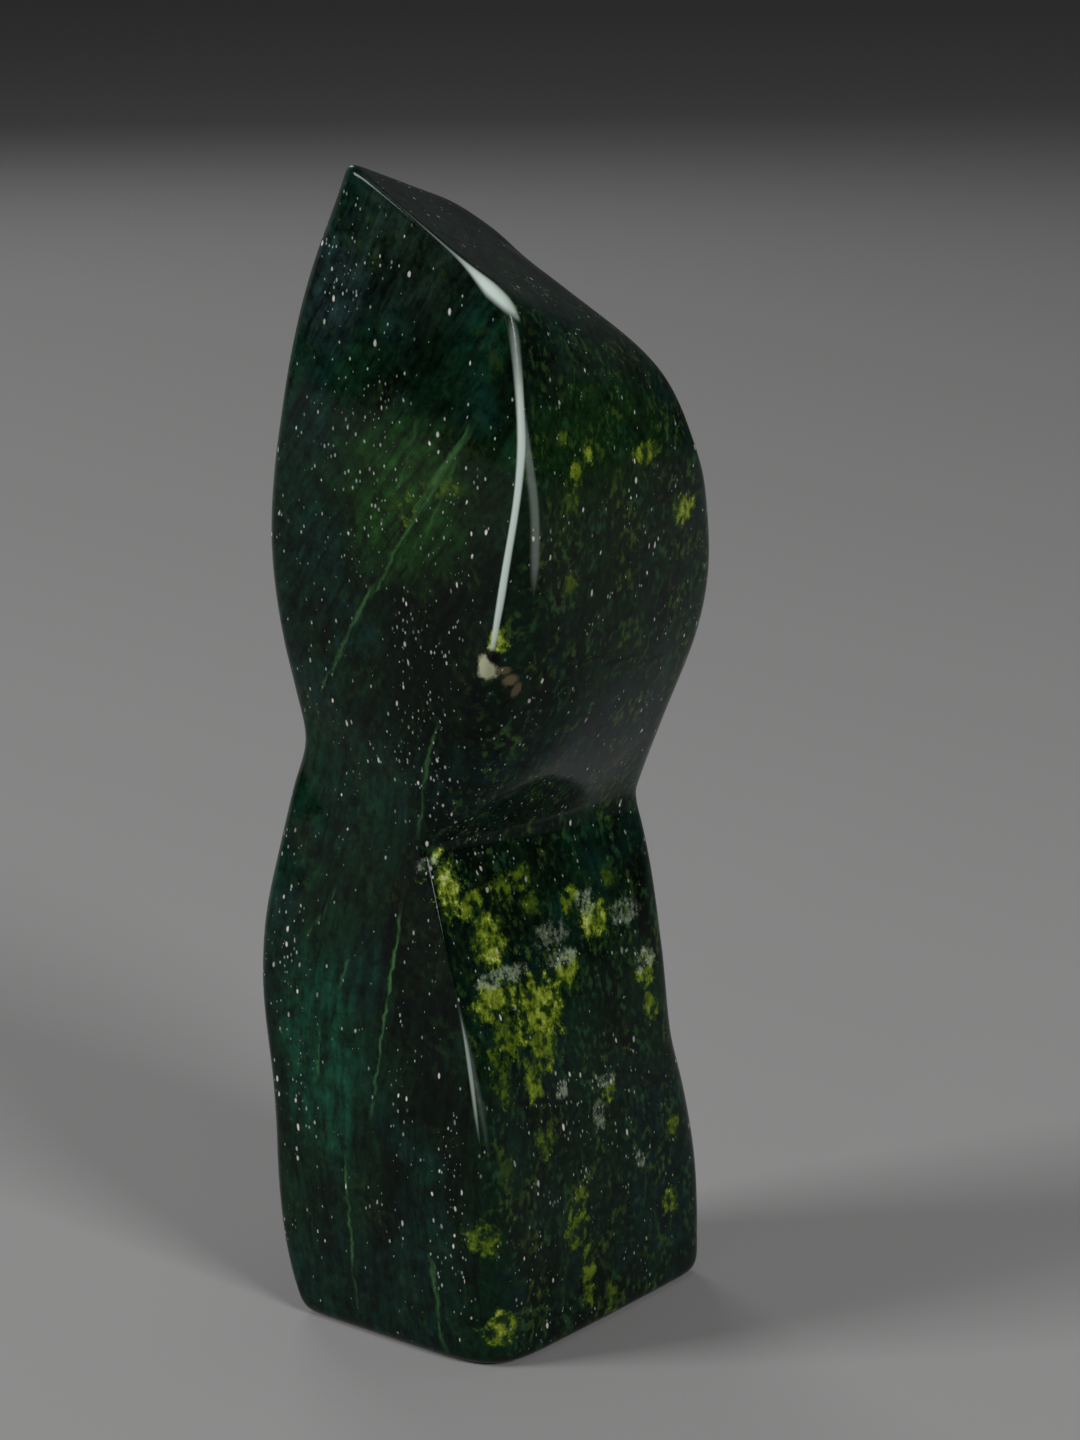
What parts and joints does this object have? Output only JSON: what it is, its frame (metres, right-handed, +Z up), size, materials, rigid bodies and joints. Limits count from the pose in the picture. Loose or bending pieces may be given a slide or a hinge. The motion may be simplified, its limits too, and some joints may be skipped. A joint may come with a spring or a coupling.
{
  "type": "jade sculpture",
  "caption": "Tall polished free form of nephrite jade: an uneven four-sided block with a tilted waist, a crease under one overhanging side and a sloping top that ends in a point.",
  "frame": {"origin": "on the ground under the middle of the part's box", "axes": "+Z up; the wide dark face looks along -Y, and the side with the crease and the overhang looks along +X"},
  "size_m": [0.077, 0.0816, 0.2529],
  "materials": {
    "polished_jade": "polished"
  },
  "bodies": {
    "root": {"jade_stone": "polished_jade"}
  },
  "joints": []
}
